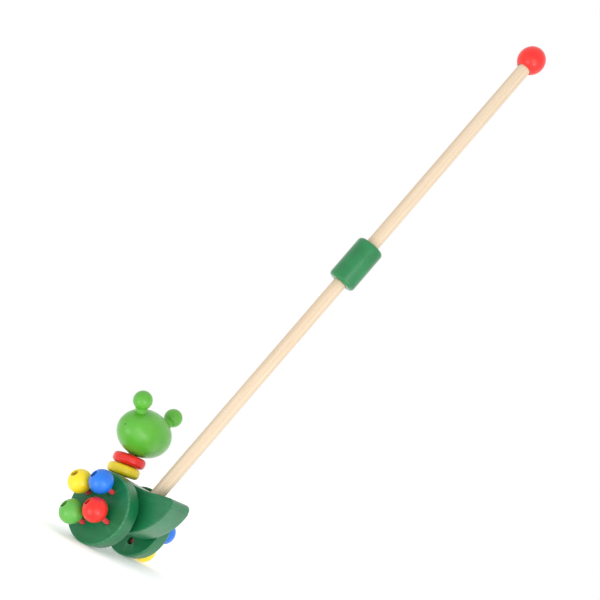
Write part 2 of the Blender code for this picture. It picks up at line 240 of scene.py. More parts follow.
@dataclass(frozen=True)
class Paint:
    """Sprayed paint over fine-grained wood."""

    name: str
    slot: Slot
    colour: Ink
    deep: Ink
    # Colour of sharply bent edges: partly rubbed paint, partly a painted highlight line (darker than the
    # paint on the block).
    worn: Ink
    roughness: float = 0.42
    coat: float = 0.6
    coat_roughness: float = 0.26
    coat_ior: float = 1.46
    specular: float = 0.3
    # Near-black painted shade for inside bores and knot mouths.
    hollow: Ink = (26, 20, 20)
    grain: float = 0.05
    grain_axis: Triple = (0.0, 0.0, 1.0)
    grain_stretch: float = 18.0
    cloud_scale: float = 85.0
    cloud_share: float = 0.45
    fibre_scale: float = 1500.0
    # Noise scale that breaks up the edge colour, and how much of it shows: partly wear, partly painted
    # highlight.
    rub_scale: float = 420.0
    rub_share: float = 0.3
    hollow_share: float = 0.85
    smear_scale: float = 260.0
    peel_scale: float = 1100.0
    relief: float = 0.00006

    def colour_over(self, sheet: Sheet) -> Socket:
        """The paint's colour, with cloudy depth, grain showing through and tinted sharp edges: partly wear,
        partly a painted highlight line along rounded rims.

        Args:
            sheet: The material's sheet.

        Returns:
            The colour output.
        """
        along = sheet.grained(Vector(self.grain_axis), self.grain_stretch)
        place = sheet.add("TexCoord").outputs["Object"]
        cloud = sheet.span(sheet.noise(place, self.cloud_scale, 3), 0.3, 0.7)
        fibre = sheet.span(sheet.noise(along, self.fibre_scale, 3, 0.65), 0.42, 0.66)
        body = sheet.tint(sheet.times(cloud, self.cloud_share), shade(*self.colour), shade(*self.deep))
        body = sheet.tint(sheet.times(fibre, self.grain * 3), body, shade(*self.deep))
        # Sharp edges take the edge colour, broken up by noise: partly wear, partly a painted highlight
        # along the rims.
        edge_breakup = sheet.span(sheet.noise(place, self.rub_scale, 3), 0.34, 0.62, 0.25, 1.0)
        edge = sheet.times(sheet.times(sheet.wear(), edge_breakup), self.rub_share)
        body = sheet.tint(edge, body, shade(*self.worn))
        # Bores and knot mouths go near-black: painted shade in the recess.
        bored = sheet.add("Attribute", attribute_name="bored").outputs["Fac"]
        return sheet.tint(sheet.times(bored, self.hollow_share), body, shade(*self.hollow))

    def dress(self, sheet: Sheet, colour: Socket) -> Material:
        """Set the gloss and the small relief under it.

        Args:
            sheet: The material's sheet.
            colour: The colour output.

        Returns:
            The finished material.
        """
        along = sheet.grained(Vector(self.grain_axis), self.grain_stretch)
        place = sheet.add("TexCoord").outputs["Object"]
        smear = sheet.noise(place, self.smear_scale, 4, 0.6)
        peel = sheet.noise(place, self.peel_scale, 2)
        fibre = sheet.noise(along, self.fibre_scale, 3, 0.65)
        height = sheet.maths("ADD", sheet.times(peel, 0.35), sheet.times(fibre, self.grain * 10))
        bump = sheet.add("Bump", {"Strength": 0.35, "Distance": self.relief, "Height": height}).outputs[0]
        rough = sheet.span(smear, 0.3, 0.75, self.roughness - 0.05, self.roughness + 0.09)
        return sheet.finish({"Base Color": colour, "Roughness": rough, "Normal": bump,
                             "Coat Weight": self.coat, "Coat Roughness": self.coat_roughness,
                             "Coat IOR": self.coat_ior, "Specular IOR Level": self.specular})

    def make(self) -> Material:
        """The paint as a material."""
        sheet = Sheet(self.name)
        return self.dress(sheet, self.colour_over(sheet))


@dataclass(frozen=True)
class FacePaint(Paint):
    """Head paint with two round eyes and a smile brushed on the front."""

    eyes: tuple[Triple, ...] = ()
    eye_radius: float = 0.0026
    smile_centre: Triple = (0.0, 0.0, 0.0)
    smile_radius: float = 0.0115
    smile_width: float = 0.0007
    smile_reach: float = 0.0078
    ink: Ink = (24, 24, 26)
    soft: float = 0.00018

    def make(self) -> Material:
        """The paint as a material."""
        sheet = Sheet(self.name)
        place = sheet.add("TexCoord").outputs["Object"]
        marks = self.smile(sheet, place)
        for eye in self.eyes:
            away = sheet.add("VectorMath", {0: place, 1: eye}, operation="DISTANCE").outputs["Value"]
            dot = sheet.span(away, self.eye_radius - self.soft, self.eye_radius + self.soft, 1, 0)
            marks = sheet.maths("MAXIMUM", marks, dot)
        colour = sheet.tint(marks, self.colour_over(sheet), shade(*self.ink))
        return self.dress(sheet, colour)

    def smile(self, sheet: Sheet, place: Socket) -> Socket:
        """The lower part of a ring seen from the front.

        Args:
            sheet: The material's sheet.
            place: Object coordinates.

        Returns:
            1 on the line and 0 off it.
        """
        moved = sheet.add("VectorMath", {0: place, 1: self.smile_centre}, operation="SUBTRACT").outputs[0]
        split = sheet.add("SeparateXYZ", {0: moved}).outputs
        flat = sheet.add("CombineXYZ", {0: split[0], 2: split[2]}).outputs[0]
        ring = sheet.add("VectorMath", {0: flat}, operation="LENGTH").outputs["Value"]
        off = sheet.maths("ABSOLUTE", sheet.maths("SUBTRACT", ring, self.smile_radius))
        line = sheet.span(off, self.smile_width - self.soft, self.smile_width + self.soft, 1, 0)
        sideways = sheet.maths("ABSOLUTE", split[0])
        middle = sheet.span(sideways, self.smile_reach - 0.0004, self.smile_reach, 1, 0)
        low = sheet.maths("LESS_THAN", split[2], 0.0)
        front = sheet.maths("LESS_THAN", split[1], 0.0)
        return sheet.times(sheet.times(line, middle),
                           sheet.times(low, front))


@dataclass(frozen=True)
class PlainWood:
    """Sanded pale wood with straight grain, fibres and short pores."""

    name: str
    axis: Triple
    pale: Ink = (215, 198, 175)
    warm: Ink = (202, 178, 149)
    fibre: Ink = (184, 156, 124)
    pore: Ink = (150, 118, 86)
    roughness: float = 0.52
    specular: float = 0.2

    def make(self) -> Material:
        """The wood as a material."""
        sheet = Sheet(self.name)
        grown = sheet.grained(Vector(self.axis), 45)
        long = sheet.grained(Vector(self.axis), 90)
        short = sheet.grained(Vector(self.axis), 14)
        rings = sheet.add("TexWave", {"Vector": grown, "Scale": 95.0, "Distortion": 6.0, "Detail": 3.0,
                                      "Detail Scale": 1.6, "Detail Roughness": 0.55},
                          wave_type="BANDS", bands_direction="X", wave_profile="SIN").outputs["Fac"]
        strands = sheet.noise(long, 1900, 4, 0.7)
        blotch = sheet.noise(grown, 160, 2)
        pores = sheet.span(sheet.noise(short, 3200, 2, 0.6), 0.64, 0.74)
        colour = sheet.tint(sheet.times(rings, 0.55), shade(*self.pale), shade(*self.warm))
        colour = sheet.tint(sheet.span(strands, 0.45, 0.75, 0, 0.55), colour, shade(*self.fibre))
        colour = sheet.tint(sheet.span(blotch, 0.45, 0.8, 0, 0.3), colour, shade(*self.warm))
        colour = sheet.tint(sheet.times(pores, 0.5), colour, shade(*self.pore))
        colour = sheet.tint(sheet.times(sheet.wear(), 0.25), colour, shade(*self.fibre))
        raised, sunk = sheet.times(strands, 0.6), sheet.times(pores, 0.5)
        height = sheet.maths("SUBTRACT", raised, sunk)
        bump = sheet.add("Bump", {"Strength": 0.5, "Distance": 0.0001, "Height": height}).outputs[0]
        rough = sheet.span(strands, 0.3, 0.75, self.roughness, self.roughness + 0.16)
        return sheet.finish({"Base Color": colour, "Roughness": rough, "Normal": bump,
                             "Specular IOR Level": self.specular})


@dataclass(frozen=True)
class Elastic:
    """Braided elastic: crossing strands that follow the cord's own length and girth."""

    name: str
    colour: Ink = (228, 40, 44)
    deep: Ink = (140, 12, 22)
    strands: int = 12
    pitch: float = 0.0085
    roughness: float = 0.5
    sheen: float = 0.25

    def make(self) -> Material:
        """The elastic as a material."""
        sheet = Sheet(self.name)
        along = sheet.add("Attribute", attribute_name="along").outputs["Fac"]
        around = sheet.add("Attribute", attribute_name="around").outputs["Fac"]
        run = sheet.times(along, math.tau * self.strands / (2 * self.pitch))
        turn = sheet.times(around, math.tau * self.strands / 2)
        one_way = sheet.maths("SINE", sheet.maths("ADD", turn, run))
        other_way = sheet.maths("SINE", sheet.maths("SUBTRACT", turn, run))
        braid_groove = sheet.span(sheet.times(one_way, other_way), -0.9, 0.9)
        place = sheet.add("TexCoord").outputs["Object"]
        fuzz = sheet.noise(place, 5200, 3, 0.6)
        # Darker where the braid sinks between strands: painted shade in its grooves.
        colour = sheet.tint(sheet.times(braid_groove, 0.7), shade(*self.colour), shade(*self.deep))
        colour = sheet.tint(sheet.span(fuzz, 0.4, 0.8, 0, 0.35), colour, shade(*self.deep))
        height = sheet.maths("SUBTRACT", sheet.times(fuzz, 0.3), braid_groove)
        bump = sheet.add("Bump", {"Strength": 0.6, "Distance": 0.00012, "Height": height}).outputs[0]
        rough = sheet.span(fuzz, 0.3, 0.7, self.roughness, self.roughness + 0.2)
        return sheet.finish({"Base Color": colour, "Roughness": rough, "Normal": bump,
                             "Sheen Weight": self.sheen})


# --------------------------------------------------------------- mesh helpers


def arc(centre: Station, radius: float, first: float, last: float, steps: int) -> list[Station]:
    """Points on an arc from one angle in degrees to another, both ends included."""
    turns = [math.radians(first + (last - first) * i / steps) for i in range(steps + 1)]
    return [(centre[0] + radius * math.cos(a), centre[1] + radius * math.sin(a)) for a in turns]


def eased(corners: list[Triple], steps: int = 5) -> list[Station]:
    """A profile whose corners are rounded over.

    Args:
        corners: (radius, height, rounding) of each corner; the ends aren't rounded.
        steps: Points on each rounding.

    Returns:
        The profile's points.
    """
    line = [corners[0][:2]]
    for before, corner, after in zip(corners, corners[1:], corners[2:]):
        middle = Vector(corner[:2])
        if corner[2] <= 0:
            line.append(tuple(middle))
            continue
        back, on = Vector(before[:2]) - middle, Vector(after[:2]) - middle
        start = middle + back.normalized() * min(corner[2], back.length * 0.48)
        end = middle + on.normalized() * min(corner[2], on.length * 0.48)
        line.append(tuple(start + (start - middle) * 0.12))
        for i in range(steps + 1):
            t = i / steps
            line.append(tuple(start * (1 - t) ** 2 + middle * 2 * t * (1 - t) + end * t * t))
        line.append(tuple(end + (end - middle) * 0.12))
    line.append(corners[-1][:2])
    return line


def turn_to(direction: Vector) -> Matrix:
    """Rotation that takes +Z to a direction."""
    return direction.to_track_quat("Z", "Y").to_matrix().to_4x4()


def middle_of(node: str) -> Vector:
    """The centre of a CAD node's box."""
    low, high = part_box(node)
    return (low + high) / 2


class Plan(Graph):
    """A Geometry Nodes tree that makes one kind of piece."""

    def __init__(self, name: str, inputs: dict[str, str]) -> None:
        """Start a tree.

        Args:
            name: The tree's name.
            inputs: Input name to socket kind; the first is the geometry.
        """
        super().__init__(bpy.data.node_groups.new(name, "GeometryNodeTree"), "GeometryNode")
        face = self.tree.interface
        self.names = {}
        for label, kind in inputs.items():
            socket = face.new_socket(label, in_out="INPUT", socket_type="NodeSocket" + kind)
            self.names[label] = socket.identifier
        face.new_socket("Piece", in_out="OUTPUT", socket_type="NodeSocketGeometry")
        self.start = self.add("GroupInput", family="Node").outputs

    def split(self, vector: Socket) -> bpy.types.bpy_prop_collection:
        """A vector's X, Y and Z outputs."""
        return self.add("SeparateXYZ", {0: vector}, "ShaderNode").outputs

    def finish(self, shape: Socket) -> None:
        """End the tree: merged, smooth, real, one material.

        Args:
            shape: The geometry so far.
        """
        merged = self.add("MergeByDistance", {"Geometry": shape, "Distance": Shop.MERGE})
        smooth = self.add("SetShadeSmooth", {"Geometry": merged.outputs[0]})
        real = self.add("RealizeInstances", {0: smooth.outputs[0]})
        dressed = self.add("SetMaterial", {"Geometry": real.outputs[0], "Material": self.start["Finish"]})
        self.add("GroupOutput", {0: dressed.outputs[0]}, "Node")


class Shop:
    """The lathe and the cord sweep as Geometry Nodes, and the bench that finishes pieces."""

    MERGE = 1e-6
    WEAR_FROM = 260.0
    WEAR_SPAN = 520.0
    CORD_SIDES = 28
    SHARP = math.radians(30)

    def __init__(self) -> None:
        """Build both node trees."""
        self.lathe = self.build_lathe()
        self.sweep = self.build_sweep()

    @staticmethod
    def build_lathe() -> Plan:
        """A tree that turns a profile of (radius, 0, height) points about Z."""
        plan = Plan("lathe", {"Profile": "Geometry", "Segments": "Int", "Stations": "Int",
                              "Finish": "Material"})
        start = plan.start
        grid = plan.add("MeshGrid", {"Size X": 1.0, "Size Y": 1.0, "Vertices Y": start["Stations"],
                                     "Vertices X": plan.maths("ADD", start["Segments"], 1)})
        where = plan.split(plan.add("InputPosition").outputs[0])
        turn = plan.times(plan.maths("ADD", where["X"], 0.5), math.tau)
        last = plan.maths("SUBTRACT", start["Stations"], 1)
        station = plan.maths("ROUND", plan.times(plan.maths("ADD", where["Y"], 0.5), last))
        read = plan.add("SampleIndex", {"Geometry": start["Profile"], "Index": station,
                                        "Value": plan.add("InputPosition").outputs[0]},
                        data_type="FLOAT_VECTOR")
        point = plan.split(read.outputs[0])
        spot = plan.add("CombineXYZ", {"X": plan.times(point["X"], plan.maths("COSINE", turn)),
                                       "Y": plan.times(point["X"], plan.maths("SINE", turn)),
                                       "Z": point["Z"]}, "ShaderNode")
        moved = plan.add("SetPosition", {"Geometry": grid.outputs["Mesh"], "Position": spot.outputs[0]})
        plan.finish(moved.outputs[0])
        return plan

    @staticmethod
    def build_sweep() -> Plan:
        """A tree that sweeps a round section along a path, as thick as the path's girth says."""
        plan = Plan("cord_sweep", {"Path": "Geometry", "Sides": "Int", "Finish": "Material"})

        def stored(shape: Socket, label: str, output: str) -> Socket:
            """Keep one spline parameter under a name."""
            value = plan.add("SplineParameter").outputs[output]
            return plan.add("StoreNamedAttribute", {"Name": label, "Geometry": shape,
                                                    "Value": value}).outputs[0]

        line = plan.add("MeshToCurve", {"Mesh": plan.start["Path"]})
        ring = plan.add("CurvePrimitiveCircle", {"Radius": 1.0, "Resolution": plan.start["Sides"]})
        girth = plan.add("InputNamedAttribute", {"Name": "girth"})
        tube = plan.add("CurveToMesh", {"Fill Caps": True, "Scale": girth.outputs[0],
                                        "Curve": stored(line.outputs[0], "along", "Length"),
                                        "Profile Curve": stored(ring.outputs[0], "around", "Factor")})
        plan.finish(tube.outputs[0])
        return plan

    @staticmethod
    def polyline(name: str, points: list[Vector]) -> Piece:
        """An object of one open line.

        Args:
            name: The object's name.
            points: The line's points.

        Returns:
            The object.
        """
        mesh = bpy.data.meshes.new(name)
        mesh.from_pydata(points, [(i, i + 1) for i in range(len(points) - 1)], [])
        line = bpy.data.objects.new(name, mesh)
        bpy.context.scene.collection.objects.link(line)
        return line

    def run(self, line: Piece, plan: Plan, **values: object) -> Piece:
        """Run a tree on a line and keep the result as the line's own mesh.

        Args:
            line: The object of one open line.
            plan: The tree.
            values: Input name to value.

        Returns:
            The same object, with a plain mesh.
        """
        step = line.modifiers.new(plan.tree.name, "NODES")
        step.node_group = plan.tree
        for label, value in values.items():
            step[plan.names[label]] = value
        return self.settle(line)

    @staticmethod
    def settle(piece: Piece) -> Piece:
        """Make a piece's modifiers part of its mesh.

        Args:
            piece: The piece.

        Returns:
            The same object.
        """
        graph = bpy.context.evaluated_depsgraph_get()
        done = bpy.data.meshes.new_from_object(piece.evaluated_get(graph))
        piece.modifiers.clear()
        piece.data = done
        return piece

    def turn(self, name: str, profile: list[Station], place: Matrix, finish: Material,
             segments: int = 72, looped: bool = False) -> Piece:
        """Turn a piece on the lathe and put it in its place.

        Args:
            name: The piece's name.
            profile: (radius, height) stations.
            place: Where the piece's own Z axis stands.
            finish: Its material.
            segments: Steps round the axis.
            looped: Whether the profile closes on itself round a bore.

        Returns:
            The piece, with its place in its mesh.
        """
        stations = profile + profile[:1] if looped else profile
        piece = self.polyline(name, [Vector((r, 0, h)) for r, h in stations])
        self.run(piece, self.lathe, Segments=segments, Stations=len(stations), Finish=finish)
        piece.data.transform(place)
        self.face_out(piece)
        return piece

    def cord(self, name: str, path: list[Vector], girths: list[float],
             finish: Material) -> Piece:
        """Sweep a cord along a path.

        Args:
            name: The piece's name.
            path: The cord's centreline.
            girths: Its radius at each point.
            finish: Its material.

        Returns:
            The cord.
        """
        piece = self.polyline(name, path)
        piece.data.attributes.new("girth", "FLOAT", "POINT").data.foreach_set("value", girths)
        self.run(piece, self.sweep, Sides=self.CORD_SIDES, Finish=finish)
        self.face_out(piece)
        return piece

    @staticmethod
    def face_out(piece: Piece) -> None:
        """Point every face of a closed piece outwards.

        Args:
            piece: The piece.
        """
        bm = bmesh.new()
        bm.from_mesh(piece.data)
        bmesh.ops.dissolve_degenerate(bm, dist=1e-8, edges=bm.edges)
        bmesh.ops.recalc_face_normals(bm, faces=bm.faces)
        bm.to_mesh(piece.data)
        bm.free()

    def drill(self, piece: Piece, drills: list[Piece]) -> None:
        """Cut holes in a piece and throw the cutters away.

        Args:
            piece: The piece.
            drills: Turned cutters, in place.
        """
        for drill in drills:
            hole = piece.modifiers.new(drill.name, "BOOLEAN")
            hole.operation = "DIFFERENCE"
            hole.solver = "EXACT"
            hole.object = drill
        self.settle(piece)
        for drill in drills:
            bpy.data.objects.remove(drill)

    def level(self, piece: Piece) -> None:
        """Keep flat faces flat beside rounded edges.

        Args:
            piece: The piece.
        """
        piece.data.set_sharp_from_angle(angle=self.SHARP)
        lean = piece.modifiers.new("flat_faces", "WEIGHTED_NORMAL")
        lean.keep_sharp = True
        lean.weight = 80
        self.settle(piece)

    def note_wear(self, piece: Piece) -> None:
        """Write how sharply each outer edge bends, for the finishes' edge wear and painted edge highlight.

        Args:
            piece: The piece.
        """
        bm = bmesh.new()
        bm.from_mesh(piece.data)
        bends = [0.0] * len(bm.verts)
        for edge in bm.edges:
            if len(edge.link_faces) != 2:
                continue
            bend = edge.calc_face_angle_signed(0.0)
            one, other = edge.link_faces
            apart = max((one.calc_center_median() - other.calc_center_median()).length, 1e-5)
            for vert in edge.verts:
                bends[vert.index] = max(bends[vert.index], bend / apart)
        bm.free()
        wear = [min(max((bend - self.WEAR_FROM) / self.WEAR_SPAN, 0.0), 1.0) for bend in bends]
        mark = piece.data.attributes.new("wear", "FLOAT", "POINT")
        mark.data.foreach_set("value", wear)

    def hand_over(self, piece: Piece, body: str, slot: Slot, *nodes: str) -> None:
        """Fix a finished piece to its body in place of its CAD nodes.

        Args:
            piece: The piece.
            body: The CAD body it rides on.
            slot: Its material slot; not used.
            nodes: The CAD nodes that it stands for.
        """
        self.note_wear(piece)
        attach(piece, body)
        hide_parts(*nodes)
        LOG.info("%s: %d faces on %s", piece.name, len(piece.data.polygons), body)


# ---------------------------------------------------------------- the finishes

STICK_AXIS = tuple(JOINTS["stick_pull_apart"]["axis"])
# The lighter edge colours of the disc, sleeve, head and bead paints draw a painted highlight line along
# rounded edges, partly standing for rubbed paint.
DARK_GREEN = Paint("dark_green_gloss", Slot.DARK_GREEN, (14, 112, 66), (6, 88, 48), (112, 172, 136),
                   roughness=0.48, coat=1.0, coat_roughness=0.3, coat_ior=1.34, specular=0.1, grain=0.16,
                   grain_axis=(0.0, 1.0, 0.12))
# Block paint, a touch lighter than the discs'; its edge colour is darker than the paint, so its rounded
# edges come out darker rather than highlighted.
BLOCK_GREEN = replace(DARK_GREEN, name="block_green_gloss", colour=(16, 118, 70), deep=(6, 90, 50),
                      worn=(4, 58, 34), coat_ior=1.4, specular=0.2, grain=0.2)
SLEEVE_GREEN = Paint("sleeve_green_gloss", Slot.DARK_GREEN, (22, 120, 66), (10, 98, 50), (104, 170, 124),
                     coat=0.9, coat_roughness=0.22, coat_ior=1.4, specular=0.2, grain=0.1,
                     grain_axis=STICK_AXIS)
HEAD_GREEN = Paint("ear_green_gloss", Slot.HEAD_GREEN, (86, 170, 44), (70, 152, 34), (140, 200, 110),
                   grain=0.04, grain_axis=(1.0, 0.0, 0.0))
BEAD_PAINTS = {
    "yellow": Paint("yellow_gloss", Slot.YELLOW, (236, 212, 28), (226, 198, 16), (250, 232, 130),
                    grain=0.04),
    "blue": Paint("blue_gloss", Slot.BLUE, (10, 114, 220), (6, 96, 200), (110, 166, 246), grain=0.04),
    "red": Paint("red_gloss", Slot.RED, (232, 26, 14), (212, 16, 10), (248, 112, 96), grain=0.04),
    "green": Paint("light_green_gloss", Slot.LIGHT_GREEN, (94, 176, 68), (78, 158, 54), (160, 220, 140),
                   grain=0.04),
}


# -------------------------------------------------------------- sub-assemblies


@dataclass
class Assembly:
    """A sub-assembly and the shop that makes it."""

    shop: Shop


@dataclass
class BodyBlock(Assembly):
    """The half-moon block between the discs."""

    width: float = 0.0286
    edge: float = 0.0010
    axle_height: float = 0.030
    front: float = -0.0355
    nose: float = 0.011
    tail: float = 0.005
    belly_radius: float = 0.047
    belly: Station = (0.005, 0.035)
    top: tuple[Station, ...] = ((-0.0245, 0.0284), (-0.008, 0.0279), (0.008, 0.0276),
                                (0.022, 0.0279), (0.034, 0.0298), (0.0455, 0.0314))
    axle_radius: float = 0.004
    edge_steps: int = 5

    def outline(self) -> list[Station]:
        """Side view, as (y, height over the axle)."""
        nose = (self.front + self.nose, self.top[0][1] - self.nose)
        tail = (self.top[-1][0], self.top[-1][1] - self.tail)
        drop = math.sqrt(self.belly_radius ** 2 - (self.front - self.belly[0]) ** 2)
        first = math.degrees(math.atan2(-drop, self.front - self.belly[0]))
        last = math.degrees(math.atan2(tail[1] - self.belly[1], tail[0] - self.belly[0]))
        line = arc(self.belly, self.belly_radius, first, last - 1, 64)
        line += arc(tail, self.tail, last, 95, 16)
        line += self.top_line(8)[::-1][1:]
        return line + arc(nose, self.nose, 97, 180, 18)

    def top_line(self, steps: int) -> list[Station]:
        """The slightly dished top edge, from front to tail.

        Args:
            steps: Points between each two of its own.

        Returns:
            The points.
        """
        knots = [Vector(p) for p in self.top]
        knots = [2 * knots[0] - knots[1]] + knots + [2 * knots[-1] - knots[-2]]
        line = []
        for a, b, c, d in zip(knots, knots[1:], knots[2:], knots[3:]):
            for i in range(steps):
                t = i / steps
                line.append(tuple(0.5 * (2 * b + (c - a) * t + (2 * a - 5 * b + 4 * c - d) * t ** 2
                                         + (3 * b - a - 3 * c + d) * t ** 3)))
        return line + [tuple(knots[-2])]

    def build(self) -> None:
        """Cut the block, round its edges and bore it for the axle."""
        finish = BLOCK_GREEN.make()
        bm = bmesh.new()
        ring = [bm.verts.new((-self.width / 2, y, z + self.axle_height)) for y, z in self.outline()]
        side = bm.faces.new(ring)
        grown = bmesh.ops.extrude_face_region(bm, geom=[side])["geom"]
        far = [v for v in grown if isinstance(v, bmesh.types.BMVert)]
        bmesh.ops.translate(bm, verts=far, vec=(self.width, 0, 0))
        rims = [e for e in bm.edges if abs(e.verts[0].co.x - e.verts[1].co.x) < 1e-7]
        bmesh.ops.bevel(bm, geom=rims, offset=self.edge, segments=self.edge_steps, profile=0.5,
                        affect="EDGES")
        bmesh.ops.recalc_face_normals(bm, faces=bm.faces)
        mesh = bpy.data.meshes.new("body_block_look")
        bm.to_mesh(mesh)
        bm.free()
        mesh.materials.append(finish)
        for face in mesh.polygons:
            face.use_smooth = True
        block = bpy.data.objects.new("body_block_look", mesh)
        bpy.context.scene.collection.objects.link(block)
        self.shop.drill(block, [self.axle_drill(finish)])
        self.shop.level(block)
        self.shop.hand_over(block, "toy", Slot.DARK_GREEN, "body_block")

    def axle_drill(self, finish: Material) -> Piece:
        """A cutter for the axle bore, flared where it comes out.

        Args:
            finish: The block's paint, which the bore keeps.

        Returns:
            The cutter.
        """
        bore, half, flare = self.axle_radius + GAP, self.width / 2, 0.0006
        profile = [(0, -half * 2), (bore + flare, -half * 2), (bore + flare, -half), (bore, flare - half),
                   (bore, half - flare), (bore + flare, half), (bore + flare, half * 2), (0, half * 2)]
        place = Matrix.Translation((0, 0, self.axle_height)) @ turn_to(Vector((1, 0, 0)))
        return self.shop.turn("axle_drill", profile, place, finish, segments=64)


@dataclass
class BeadPlace:
    """One bead, its cord and its hole, found from its hinge and its CAD node."""

    side: Side
    colour: str
    bend_out: float = 0.0015

    @property
    def name(self) -> str:
        """The end of its node names."""
        return f"{self.side.word}_{self.colour}"

    @property
    def bend(self) -> Vector:
        """Where the cord bends."""
        return Vector(JOINTS[f"bead_{self.name}_flop"]["pos_m"])

    @property
    def mouth(self) -> Vector:
        """Middle of the hole on the disc's outer face."""
        return self.bend - Vector((self.side.value * self.bend_out, 0, 0))

    @property
    def centre(self) -> Vector:
        """Middle of the bead."""
        return middle_of(f"bead_{self.name}")

    @property
    def along(self) -> Vector:
        """Direction of the bead's bore, away from the disc."""
        return (self.centre - self.bend).normalized()


@dataclass
class WheelSet(Assembly):
    """Both discs on their axle, with the cord holes."""

    radius: float = 0.030
    width: float = DISC_WIDTH
    edge: float = 0.002
    axle_radius: float = 0.004
    axle_socket: float = 0.008
    cord_hole: float = 0.0023
    knot_hole: float = 0.0031
    knot_depth: float = 0.005
    hole_flare: float = 0.0002
    bore_edge: float = 0.0003
    rod_chamfer: float = 0.0006
    flat_share: float = 0.45
    segments: int = 128

    def build(self, places: list[BeadPlace]) -> None:
        """Turn the axle and both discs.

        Args:
            places: Every bead's place, for the holes.
        """
        low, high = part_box("axle")
        half = (high.x - low.x) / 2
        rod = eased([(0, -half, 0), (self.axle_radius, -half, self.rod_chamfer),
                     (self.axle_radius, half, self.rod_chamfer), (0, half, 0)])
        along_x = turn_to(Vector((1, 0, 0)))
        wood = PlainWood("axle_wood", (1.0, 0.0, 0.0)).make()
        axle = self.shop.turn("axle_look", rod, Matrix.Translation(middle_of("axle")) @ along_x, wood, 48)
        self.shop.hand_over(axle, "wheelset", Slot.PLAIN, "axle")
        for side in Side:
            self.build_disc(side, [p for p in places if p.side is side])

    def build_disc(self, side: Side, places: list[BeadPlace]) -> None:
        """Turn one disc and drill its holes.

        Args:
            side: Which disc.
            places: The beads on it.
        """
        finish = DARK_GREEN.make()
        axis = Vector((side.value, 0, 0))
        inner = middle_of(f"wheel_{side.word}") - axis * self.width / 2
        bore = self.axle_radius + GAP
        flat = self.radius * self.flat_share
        profile = eased([(0, self.axle_socket, 0), (bore, self.axle_socket, 0), (bore, 0, self.bore_edge),
                         (flat, 0, 0), (self.radius, 0, self.edge), (self.radius, self.width, self.edge),
                         (flat, self.width, 0), (0, self.width, 0)], 8)
        disc = self.shop.turn(f"wheel_{side.word}_look", profile, Matrix.Translation(inner) @ turn_to(axis),
                              finish, self.segments)
        drills = []
        step = self.width - self.knot_depth
        wide = self.knot_hole + self.hole_flare
        narrow = self.cord_hole + self.hole_flare
        past = self.width * 1.3
        shape = [(0, -self.knot_depth), (narrow, -self.knot_depth), (narrow, 0),
                 (self.cord_hole, self.hole_flare), (self.cord_hole, step), (self.knot_hole, step),
                 (self.knot_hole, self.width - self.hole_flare), (wide, self.width), (wide, past),
                 (0, past)]
        for place in places:
            stand = Matrix.Translation(place.mouth) @ turn_to(-axis)
            drills.append(self.shop.turn(f"drill_{place.name}", shape, stand, finish, 48))
        self.shop.drill(disc, drills)
        self.shop.level(disc)
        self.shop.hand_over(disc, "wheelset", Slot.DARK_GREEN, f"wheel_{side.word}")


